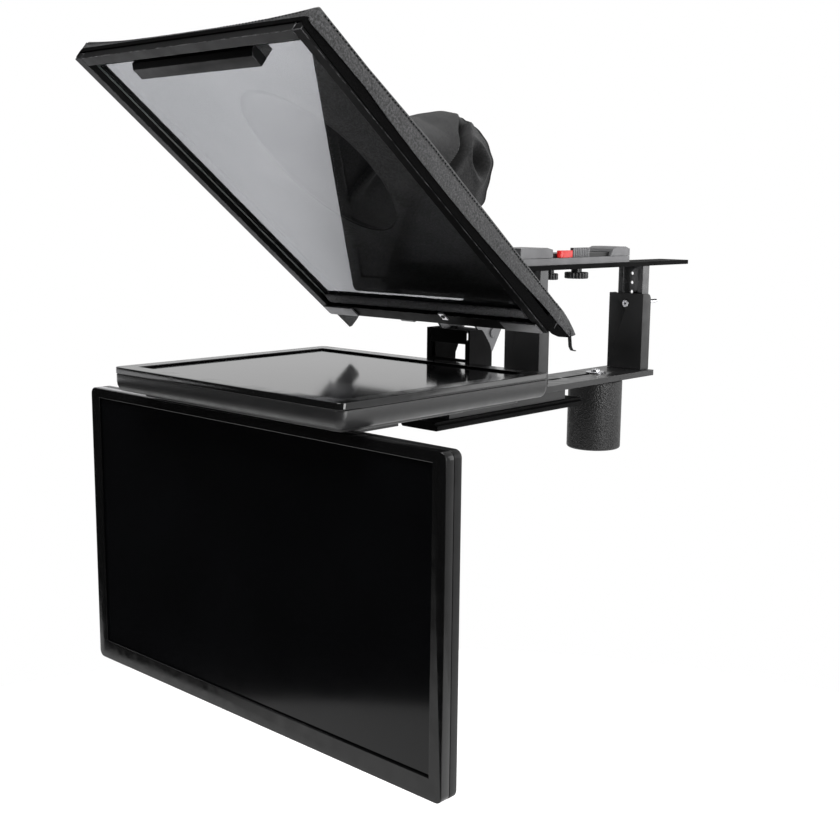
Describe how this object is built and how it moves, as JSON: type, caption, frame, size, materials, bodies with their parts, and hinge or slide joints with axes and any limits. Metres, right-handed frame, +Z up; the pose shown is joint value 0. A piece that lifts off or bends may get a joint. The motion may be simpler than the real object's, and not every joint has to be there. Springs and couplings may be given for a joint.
{
  "type": "teleprompter",
  "caption": "Through-glass teleprompter: hooded tilting beamsplitter over a face-up monitor, front-facing monitor below, camera bridge with quick release, counterweight.",
  "frame": {"origin": "centre of the underside of the tripod plate", "axes": "+Z up, -Y towards the person being filmed, +Y towards the camera operator, +X to the right seen from the talent side"},
  "size_m": [0.5662, 0.9103, 0.721],
  "materials": {
    "black_paint": "satin black powder coat",
    "black_anodised": "black anodised aluminium",
    "grey_metal": "grey bead-blasted aluminium",
    "bare_metal": "bare machined metal",
    "crinkle_black": "black crinkle coat over a solid iron body",
    "satin_plastic": "fine-textured black moulding",
    "gloss_plastic": "polished black moulding",
    "screen_glass": "dark display panel, unlit",
    "mirror_glass": "part-silvered beamsplitter glass",
    "hood_fabric": "dark woven nylon",
    "tape_fabric": "black hook-and-loop tape",
    "red_plastic": "red moulded lever",
    "circuit_board": "green laminate"
  },
  "bodies": {
    "main_frame": {"tripod_plate": "black_paint", "rail_spacer": "black_anodised", "spacer_screw_front": "bare_metal", "spacer_screw_rear": "bare_metal", "base_rail": "black_anodised", "front_riser_outer": "black_paint", "rear_riser_outer": "black_paint", "mirror_bracket": "black_paint", "mirror_pivot_bolt": "bare_metal", "mirror_pivot_nut": "bare_metal", "prompter_bezel": "gloss_plastic", "prompter_screen": "screen_glass", "prompter_rear_cover": "satin_plastic", "prompter_board": "circuit_board", "prompter_mount_plate": "black_paint", "drop_channel": "black_paint"},
    "counterweight_unit": {"counterweight": "crinkle_black", "counterweight_bolt": "bare_metal"},
    "front_clamp": {"front_clamp_screw": "black_anodised"},
    "rear_clamp": {"rear_clamp_screw": "black_anodised"},
    "camera_carriage": {"front_riser_inner": "black_anodised", "rear_riser_inner": "black_anodised", "camera_plate": "black_anodised", "release_base": "grey_metal", "release_front_jaw": "grey_metal", "release_clamp_jaw": "bare_metal", "release_end_stop": "grey_metal"},
    "camera_screw_unit": {"camera_screw": "black_anodised"},
    "front_plate_screw_unit": {"front_plate_screw": "black_anodised"},
    "release_lever_unit": {"release_lever": "red_plastic"},
    "release_slide": {"release_slide_plate": "black_paint"},
    "mirror_unit": {"mirror_arm_left": "grey_metal", "mirror_arm_right": "grey_metal", "frame_left_rail": "black_anodised", "frame_right_rail": "black_anodised", "frame_top_rail": "black_anodised", "frame_bottom_rail": "black_anodised", "beamsplitter_glass": "mirror_glass", "glass_clamp_bar": "black_anodised", "bottom_light_seal": "tape_fabric", "corner_plate_left": "grey_metal", "corner_plate_right": "grey_metal", "hook_tape": "tape_fabric", "hood_left_panel": "hood_fabric", "hood_right_panel": "hood_fabric", "hood_top_panel": "hood_fabric", "hood_bottom_panel": "hood_fabric", "hood_back_panel": "hood_fabric", "lens_sleeve": "hood_fabric"},
    "talent_lift": {"drop_arm": "black_anodised", "talent_tilt_bolt": "bare_metal"},
    "talent_monitor": {"talent_bezel": "gloss_plastic", "talent_screen": "screen_glass", "talent_rear_cover": "satin_plastic", "talent_board": "circuit_board", "talent_tilt_bracket": "black_paint"},
    "drop_lock": {"drop_lock_knob": "black_anodised"},
    "prompter_button": {"prompter_power_button": "satin_plastic"},
    "talent_button": {"talent_power_button": "satin_plastic"}
  },
  "joints": [
    {"name": "counterweight_slide", "type": "slide", "parent": "main_frame", "child": "counterweight_unit", "axis": [0, -1, 0], "range_m": [0, 0.028]},
    {"name": "front_clamp_turn", "type": "hinge", "parent": "main_frame", "child": "front_clamp", "pos_m": [0, 0.088, 0.13], "axis": [0, 1, 0], "continuous": true},
    {"name": "rear_clamp_turn", "type": "hinge", "parent": "main_frame", "child": "rear_clamp", "pos_m": [0, 0.34, 0.13], "axis": [0, 1, 0], "continuous": true},
    {"name": "camera_lift", "type": "slide", "parent": "main_frame", "child": "camera_carriage", "axis": [0, 0, 1], "range_m": [0, 0.04]},
    {"name": "camera_screw_turn", "type": "hinge", "parent": "camera_carriage", "child": "camera_screw_unit", "pos_m": [0, 0.166, 0.176], "axis": [0, 0, 1], "continuous": true},
    {"name": "front_plate_screw_turn", "type": "hinge", "parent": "camera_carriage", "child": "front_plate_screw_unit", "pos_m": [0, 0.107, 0.176], "axis": [0, 0, 1], "continuous": true},
    {"name": "release_lever_swing", "type": "hinge", "parent": "camera_carriage", "child": "release_lever_unit", "pos_m": [0.0197, 0.098, 0.205], "axis": [0, 0, -1], "range_deg": [0, 60]},
    {"name": "release_plate_slide", "type": "slide", "parent": "camera_carriage", "child": "release_slide", "axis": [0, -1, 0], "range_m": [0, 0.04]},
    {"name": "mirror_tilt", "type": "hinge", "parent": "main_frame", "child": "mirror_unit", "pos_m": [0, -0.05, 0.112], "axis": [1, 0, 0], "range_deg": [-10, 28]},
    {"name": "talent_height", "type": "slide", "parent": "main_frame", "child": "talent_lift", "axis": [0, 0, -1], "range_m": [0, 0.06]},
    {"name": "talent_tilt", "type": "hinge", "parent": "talent_lift", "child": "talent_monitor", "pos_m": [0, -0.352, -0.1197], "axis": [1, 0, 0], "range_deg": [0, 15]},
    {"name": "drop_lock_turn", "type": "hinge", "parent": "main_frame", "child": "drop_lock", "pos_m": [0, -0.33, -0.04], "axis": [0, 1, 0], "continuous": true},
    {"name": "prompter_power_press", "type": "slide", "parent": "main_frame", "child": "prompter_button", "axis": [1, 0, 0], "range_m": [0, 0.0012], "stiffness_N_per_m": 400},
    {"name": "talent_power_press", "type": "slide", "parent": "talent_monitor", "child": "talent_button", "axis": [0, 0, 1], "range_m": [0, 0.0012], "stiffness_N_per_m": 400}
  ]
}
